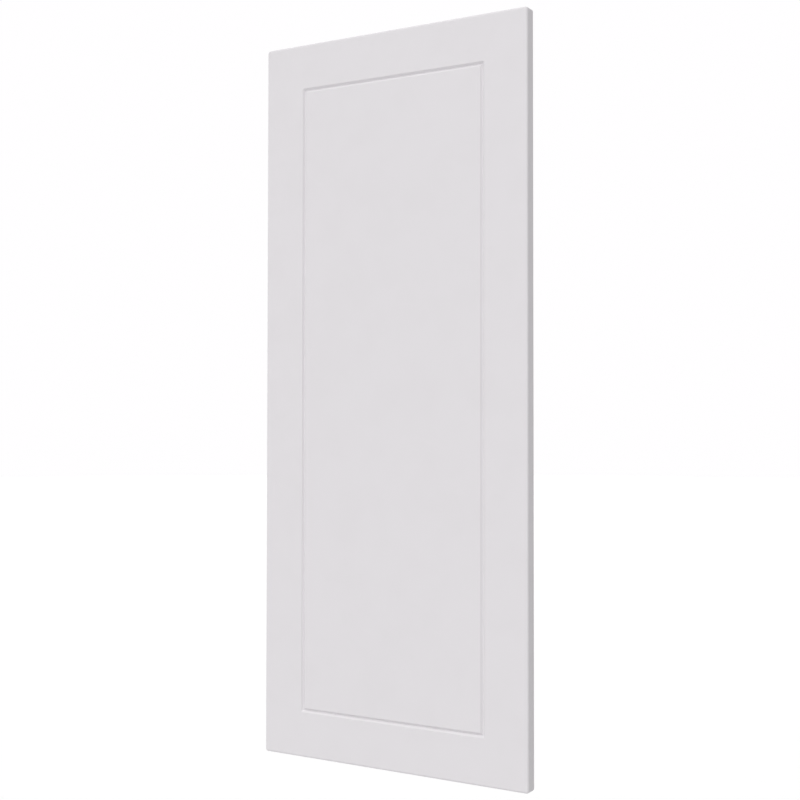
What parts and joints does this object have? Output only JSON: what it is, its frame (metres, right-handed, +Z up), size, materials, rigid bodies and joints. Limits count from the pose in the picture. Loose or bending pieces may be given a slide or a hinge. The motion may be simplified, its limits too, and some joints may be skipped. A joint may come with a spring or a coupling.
{
  "type": "kitchen cabinet door",
  "caption": "Rectangular matt white kitchen cabinet door, milled from board, with a routed frame line on the front and bores for cup hinges in the back.",
  "frame": {"origin": "centre of the back face", "axes": "+Z up along the height, +Y out of the back towards the cabinet, +X to the right as seen from the front, so the hinge edge is at -X"},
  "size_m": [0.396, 0.018, 0.956],
  "materials": {
    "matt_coat": "matte"
  },
  "bodies": {
    "root": {"door_panel": "matt_coat"}
  },
  "joints": []
}
